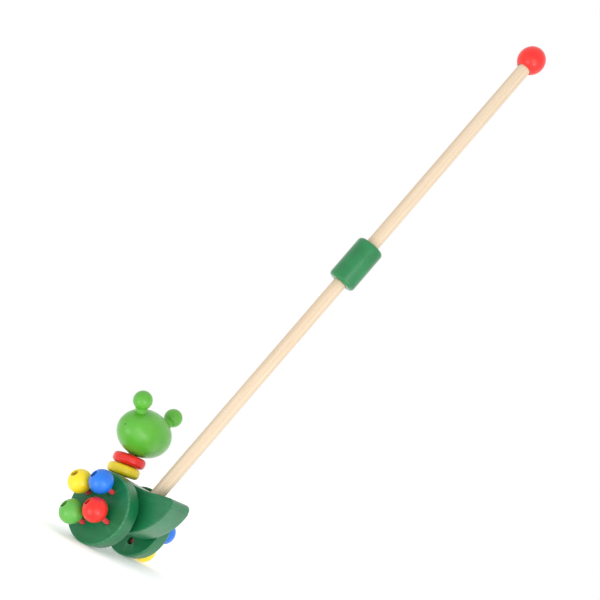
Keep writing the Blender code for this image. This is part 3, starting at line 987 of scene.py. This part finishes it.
@dataclass
class Beads(Assembly):
    """The eight turned beads and the elastic cords that hold them."""

    radius: float = 0.010
    flat: float = 0.0036
    cord: float = 0.0019
    knot: float = 0.0024
    bore: float = 0.0023
    mouth: float = 0.0031
    mouth_depth: float = 0.005
    wheel_width: float = DISC_WIDTH
    disc_recess: float = 0.0030
    bead_recess: float = 0.0032
    lip: float = 0.0003
    lip_turn: float = 1.5
    knot_length: float = 0.0028
    bend_ease: float = 1.6
    reach: float = 0.00005
    segments: int = 72

    @property
    def half(self) -> float:
        """Half the bead's length along its bore."""
        return math.sqrt(self.radius ** 2 - self.flat ** 2)

    def profile(self) -> list[Station]:
        """A ball with flat ends, a bore and a wider mouth for the knot."""
        ball = math.degrees(math.acos(self.flat / self.radius))
        ball -= self.lip_turn
        skin = [(r, h, 0) for r, h in arc((0, 0), self.radius, -ball, ball, 44)]
        floor = self.half - self.mouth_depth
        start = (self.bore, (floor - self.half) / 2, 0)
        corners = [start, (self.bore, -self.half, self.lip)] + skin
        corners += [(self.mouth, self.half, self.lip), (self.mouth, floor, 0), (self.bore, floor, 0)]
        return eased(corners + [start], 4)[:-1]

    def build(self, places: list[BeadPlace]) -> None:
        """Turn every bead and sweep every cord.

        Args:
            places: Where they go.
        """
        paints = {colour: paint.make() for colour, paint in BEAD_PAINTS.items()}
        elastic = Elastic("red_braided_elastic").make()
        for place in places:
            stand = Matrix.Translation(place.centre) @ turn_to(place.along)
            bead = self.shop.turn(f"bead_{place.name}_look", self.profile(), stand, paints[place.colour],
                                  self.segments, looped=True)
            self.note_bore(bead, place)
            node = f"bead_{place.name}"
            self.shop.hand_over(bead, node, BEAD_PAINTS[place.colour].slot, node)
            self.build_cord(place, elastic)

    def note_bore(self, bead: Piece, place: BeadPlace) -> None:
        """Mark the bead's bore and knot mouth, which the paint darkens towards near-black as painted shade.

        Args:
            bead: The bead.
            place: Its place.
        """
        centre, along, marks = place.centre, place.along, []
        for vert in bead.data.vertices:
            out = vert.co - centre
            off = (out - along * out.dot(along)).length
            marks.append(1.0 if off < self.mouth + self.reach and out.length < self.half else 0.0)
        bead.data.attributes.new("bored", "FLOAT", "POINT").data.foreach_set("value", marks)

    def build_cord(self, place: BeadPlace, elastic: Material) -> None:
        """Sweep one cord from the back of the disc, round its bend, to the bead's far end.

        Args:
            place: Its bead's place.
            elastic: Its material.
        """
        inward = Vector((-place.side.value, 0, 0))
        bend, along = place.bend, place.along
        back = place.bend_out + self.wheel_width - self.disc_recess
        end = (place.centre - bend).length + self.half - self.bead_recess
        ease = place.bend_out * self.bend_ease
        knot = (0.02, 0.12, 0.3, 0.5, 0.7, 0.88, 1.0)
        straight = 5
        path = [bend + inward * (back - s * self.knot_length) for s in knot]
        for i in range(1, straight):
            path.append(bend + inward * (back - self.knot_length
                                         + (ease - back + self.knot_length) * i / straight))
        for i in range(13):
            t = i / 12
            path.append(bend + inward * ease * (1 - t) ** 2 + along * ease * t ** 2)
        for i in range(1, straight):
            path.append(bend + along * (ease + (end - self.knot_length - ease) * i / straight))
        path += [bend + along * (end - s * self.knot_length) for s in reversed(knot)]
        ends = [self.knot_girth(s) for s in knot]
        girths = ends + [self.cord] * (len(path) - 2 * len(ends)) + ends[::-1]
        cord = self.shop.cord(f"cord_{place.name}_look", path, girths, elastic)
        entry = bend + along * ((place.centre - bend).length - self.half)
        f"bead_{place.name}"
        place.mouth
        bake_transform(cord)
        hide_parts(f"cord_{place.name}")
        LOG.info("%s: %d faces", cord.name, len(cord.data.polygons))

    def knot_girth(self, share: float) -> float:
        """The cord's radius over its end knot: share is 0 at the tip and 1 where it runs out."""
        swell = math.sqrt(max(0.0, 1 - (2 * share - 0.9) ** 2)) if share < 0.9 else 0.0
        return max(self.cord * min(1.0, 0.5 + share * 2), self.knot * swell)


@dataclass
class Neck(Assembly):
    """The dowel between body and head, and the two loose rings on it."""

    dowel: float = 0.004
    ring: float = 0.0146
    bore: float = 0.0052
    thick: float = 0.0090
    edge: float = 0.0036
    inner_edge: float = 0.001
    chamfer: float = 0.0006
    segments: int = 96

    def build(self) -> None:
        """Turn the dowel and the rings."""
        axis = head_axis()
        low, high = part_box("neck_dowel")
        half = (high.z - low.z) / 2 - GAP
        rod = eased([(0, -half, 0), (self.dowel, -half, self.chamfer), (self.dowel, half, self.chamfer),
                     (0, half, 0)])
        wood = PlainWood("neck_wood", tuple(axis)).make()
        stand = Matrix.Translation(middle_of("neck_dowel")) @ turn_to(axis)
        dowel = self.shop.turn("neck_dowel_look", rod, stand, wood, 48)
        self.shop.hand_over(dowel, "toy", Slot.PLAIN, "neck_dowel")
        half = self.thick / 2
        profile = arc((self.ring - self.edge, self.edge - half), self.edge, -90, 0, 14)
        profile += arc((self.ring - self.edge, half - self.edge), self.edge, 0, 90, 14)
        profile += arc((self.bore + self.inner_edge, half - self.inner_edge), self.inner_edge, 90, 180, 6)
        profile += arc((self.bore + self.inner_edge, self.inner_edge - half), self.inner_edge, 180, 270, 6)
        for colour in ("yellow", "red"):
            joint = JOINTS[f"neck_ring_{colour}_spin"]
            stand = Matrix.Translation(joint["pos_m"]) @ turn_to(Vector(joint["axis"]))
            paint = BEAD_PAINTS[colour]
            node = f"neck_ring_{colour}"
            ring = self.shop.turn(node + "_look", profile, stand, paint.make(), self.segments, looped=True)
            self.shop.hand_over(ring, node, paint.slot, node)


def head_axis() -> Vector:
    """The leaning neck's direction, from the middle of its dowel to the middle of the head."""
    return (middle_of("head") - middle_of("neck_dowel")).normalized()


@dataclass
class Head(Assembly):
    """The oval head with a centre mark at each pole, and its two ball ears."""

    half_width: float = 0.03035
    radius: float = 0.0207
    dimple: float = 0.0013
    dimple_depth: float = 0.0012
    ear: float = 0.0084
    stem: float = 0.0045
    flare: float = 0.0052
    stand: float = 0.0100
    socket: float = 0.006
    stem_sink: float = 0.002
    flare_sink: float = 0.0009
    flare_power: float = 2.2
    waist_turn: float = 6.0
    root_angle: float = math.radians(48.2)
    splay: float = math.radians(31.7)
    eye_spread: float = 0.0095
    eye_rise: float = 0.0045

    def frame(self) -> Matrix:
        """The head's own frame: X to its left, Z up the neck."""
        lean = math.atan2(head_axis().y, head_axis().z)
        return Matrix.Translation(middle_of("head")) @ Matrix.Rotation(-lean, 4, "X")

    def oval(self) -> list[Station]:
        """Profile of the head along its long axis, with small lathe-centre dimples."""
        start = math.degrees(math.acos(self.dimple / self.radius))
        stretch = self.half_width / self.radius
        pole = self.half_width * math.sin(math.radians(start))
        skin = [(r, h * stretch) for r, h in arc((0, 0), self.radius, -start, start, 84)]
        pit = [(0, 0.0), (0.35, 0.12), (0.75, 0.55), (0.92, 0.86)]
        left = [(self.dimple * r, self.dimple_depth * (1 - h) - pole) for r, h in pit]
        right = [(r, -h) for r, h in reversed(left)]
        return left + skin + right

    def on_face(self, x: float, z: float) -> Triple:
        """A point on the front of the head in the row frame, x to its left and z up."""
        y = -self.radius * math.sqrt(1 - (x / self.half_width) ** 2 - (z / self.radius) ** 2)
        return tuple(self.frame() @ Vector((x, y, z)))

    def build(self) -> None:
        """Turn the head and both ears."""
        eyes = tuple(self.on_face(side.value * self.eye_spread, self.eye_rise) for side in Side)
        paint = FacePaint("head_green_gloss", Slot.HEAD_GREEN, HEAD_GREEN.colour, HEAD_GREEN.deep,
                          HEAD_GREEN.worn, grain=HEAD_GREEN.grain, grain_axis=HEAD_GREEN.grain_axis,
                          eyes=eyes, smile_centre=tuple(self.frame() @ Vector((0, 0, 0.003))))
        lengthwise = self.frame() @ turn_to(Vector((1, 0, 0)))
        head = self.shop.turn("head_look", self.oval(), lengthwise, paint.make(), 112)
        self.shop.hand_over(head, "toy", Slot.HEAD_GREEN, "head")
        ear_paint = HEAD_GREEN.make()
        for side in Side:
            root = Vector((side.value * self.half_width * math.cos(self.root_angle), 0,
                           self.radius * math.sin(self.root_angle)))
            outward = Vector((side.value * math.sin(self.splay), 0, math.cos(self.splay)))
            stand = self.frame() @ Matrix.Translation(root) @ turn_to(outward)
            ear = self.shop.turn(f"ear_{side.word}_look", self.ear_profile(), stand, ear_paint, 64)
            self.shop.hand_over(ear, "toy", Slot.HEAD_GREEN, f"ear_{side.word}")

    def ear_profile(self) -> list[Station]:
        """A ball on a short stem that flares where it meets the head."""
        lowest = math.degrees(math.acos(self.stem / self.ear))
        ball = arc((0, self.stand), self.ear, self.waist_turn - lowest, 90, 40)
        ball[-1] = (0, ball[-1][1])
        waist = ball[0]
        flare = []
        for i in range(9):
            t = i / 8
            flare.append((self.flare + (waist[0] - self.flare) * (1 - (1 - t) ** self.flare_power),
                          (waist[1] + self.flare_sink) * t - self.flare_sink))
        stem = [(0, -self.socket), (self.stem, -self.socket), (self.stem, -self.stem_sink)]
        return stem + flare[:-1] + ball


@dataclass
class Stick(Assembly):
    """Both halves of the stick, the sleeve that joins them and the ball on top."""

    radius: float = 0.006
    chamfer: float = 0.0007
    sleeve: float = 0.0128
    sleeve_length: float = 0.0425
    sleeve_edge: float = 0.0033
    ball: float = 0.0125
    ball_socket: float = 0.011
    mouth_flare: float = 0.0004
    mouth_depth: float = 0.0006
    segments: int = 72

    @property
    def axis(self) -> Vector:
        """The stick's direction."""
        return Vector(STICK_AXIS).normalized()

    def build(self) -> None:
        """Turn all four pieces."""
        wood = PlainWood("stick_wood", STICK_AXIS)
        for half, body in (("lower", "toy"), ("upper", "stick_top")):
            node = f"stick_{half}"
            low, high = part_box(node)
            tilt = self.axis.angle(Vector((0, 0, 1)))
            end_rise = 2 * (self.radius - self.chamfer) * math.sin(tilt)
            length = (high.z - low.z - end_rise) / math.cos(tilt)
            steps = [(self.radius, -length / 2 + length * i / 24, 0) for i in range(1, 24)]
            rod = eased([(0, -length / 2, 0), (self.radius, -length / 2, self.chamfer)] + steps
                        + [(self.radius, length / 2, self.chamfer), (0, length / 2, 0)])
            stand = Matrix.Translation(middle_of(node)) @ turn_to(self.axis)
            half_stick = self.shop.turn(f"{node}_look", rod, stand, wood.make(), 48)
            self.shop.hand_over(half_stick, body, Slot.PLAIN, node)
        self.build_sleeve()
        self.build_ball()

    def build_sleeve(self) -> None:
        """Turn the sleeve, bored right through."""
        half, bore = self.sleeve_length / 2, self.radius + GAP
        rim = self.sleeve - self.sleeve_edge
        profile = [(bore, 0.0), (bore, self.mouth_depth - half), (bore + self.mouth_flare, -half)]
        profile += arc((rim, self.sleeve_edge - half), self.sleeve_edge, -90, 0, 14)
        profile += arc((rim, half - self.sleeve_edge), self.sleeve_edge, 0, 90, 14)
        profile += [(bore + self.mouth_flare, half), (bore, half - self.mouth_depth)]
        stand = Matrix.Translation(middle_of("stick_sleeve")) @ turn_to(self.axis)
        sleeve = self.shop.turn("stick_sleeve_look", profile, stand, SLEEVE_GREEN.make(), 96, looped=True)
        self.shop.hand_over(sleeve, "toy", Slot.DARK_GREEN, "stick_sleeve")

    def build_ball(self) -> None:
        """Turn the ball, with its socket for the stick."""
        bore = self.radius + GAP
        mouth = math.degrees(math.acos((bore + self.mouth_flare) / self.ball))
        skin = arc((0, 0), self.ball, -mouth, 90, 48)
        skin[-1] = (0, self.ball)
        floor = self.ball_socket - self.ball
        profile = [(0, floor), (bore, floor), (bore, skin[0][1] + 0.0005)] + skin
        centre = self.ball_centre()
        ball = self.shop.turn("stick_ball_look", profile, Matrix.Translation(centre) @ turn_to(self.axis),
                              BEAD_PAINTS["red"].make(), 96)
        self.shop.hand_over(ball, "stick_top", Slot.RED, "stick_ball")

    def ball_centre(self) -> Vector:
        """Middle of the ball: a radius below its highest point, on the stick's line."""
        low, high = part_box("stick_ball")
        start = middle_of("stick_upper")
        rise = high.z - self.ball - start.z
        return start + self.axis * (rise / self.axis.z)


# --------------------------------------------------------------------- studio


@dataclass
class Studio:
    """Pale floor, white surround, two soft boxes beside the camera and the camera itself."""

    eye: Triple = (0.5853, 0.4306, 0.08145)
    right: Triple = (-0.38299, 0.82027, 0.42482)
    up: Triple = (0.42201, -0.25373, 0.87036)
    lens: float = 48.885
    floor_radius: float = 4.0
    floor_glow: float = 0.24
    target: Triple = (0.0, 0.03, 0.16)

    def build(self) -> None:
        """Set everything up."""
        self.build_camera()
        self.build_floor()
        self.build_surround()
        self.build_box("soft_box_left", (-0.586, -0.19, 0.787), 0.42, 2.0)
        self.build_box("soft_box_right", (0.52, -0.446, 0.729), 0.42, 2.4)
        self.build_box("soft_box_fill", (0.35, -0.10, 0.93), 0.50, 1.5)
        bpy.context.scene.view_settings.view_transform = "Standard"

    def view(self) -> Matrix:
        """The camera's rotation: right, up and back as its columns."""
        right, up = Vector(self.right).normalized(), Vector(self.up).normalized()
        return Matrix((right, up, right.cross(up))).transposed()

    def build_camera(self) -> None:
        """Place the camera at its fitted position."""
        camera = bpy.data.cameras.new("camera")
        camera.lens = self.lens
        camera.sensor_width = 36.0
        camera.clip_start = 0.01
        holder = bpy.data.objects.new("camera", camera)
        holder.matrix_world = Matrix.Translation(self.eye) @ self.view().to_4x4()
        bpy.context.scene.collection.objects.link(holder)
        bpy.context.scene.camera = holder

    def build_floor(self) -> None:
        """A round pale floor under the discs."""
        bm = bmesh.new()
        bmesh.ops.create_circle(bm, cap_ends=True, segments=96, radius=self.floor_radius)
        mesh = bpy.data.meshes.new("floor")
        bm.to_mesh(mesh)
        bm.free()
        floor = bpy.data.objects.new("floor", mesh)
        bpy.context.scene.collection.objects.link(floor)
        sheet = Sheet("pale_floor")
        place = sheet.add("TexCoord").outputs["Object"]
        colour = sheet.tint(sheet.span(sheet.noise(place, 6, 2), 0.3, 0.7, 0, 1),
                            (0.97, 0.97, 0.97, 1), (0.985, 0.985, 0.985, 1))
        mesh.materials.append(sheet.finish({"Base Color": colour, "Roughness": 0.9,
                                            "Emission Color": (1.0, 1.0, 1.0, 1.0),
                                            "Emission Strength": self.floor_glow}))
        floor.visible_shadow = False

    def build_surround(self) -> None:
        """Even white light from all round."""
        world = bpy.data.worlds.new("surround")
        world.use_nodes = True
        world.node_tree.nodes["Background"].inputs["Color"].default_value = (1, 1, 1, 1)
        world.node_tree.nodes["Background"].inputs["Strength"].default_value = 1.0
        bpy.context.scene.world = world

    def build_box(self, name: str, towards: Triple, size: float, power: float) -> None:
        """One square soft box, aimed at the toy.

        Args:
            name: The light's name.
            towards: Its direction as the camera sees it: right, up, back.
            size: Its side.
            power: Its power in watts.
        """
        light = bpy.data.lights.new(name, "AREA")
        light.shape = "SQUARE"
        light.size = size
        light.energy = power
        holder = bpy.data.objects.new(name, light)
        direction = (self.view() @ Vector(towards)).normalized()
        holder.matrix_world = Matrix.Translation(Vector(self.target) + direction) @ turn_to(direction)
        bpy.context.scene.collection.objects.link(holder)


def main() -> None:
    """Build the studio and every sub-assembly."""
    logging.basicConfig(level=logging.INFO, format="%(name)s %(message)s")
    shop = Shop()
    Studio().build()
    places = [BeadPlace(side, colour) for side in Side for colour in BEAD_PAINTS]
    BodyBlock(shop).build()
    WheelSet(shop).build(places)
    Beads(shop).build(places)
    Neck(shop).build()
    Head(shop).build()
    Stick(shop).build()


if __name__ == "__main__":
    main()
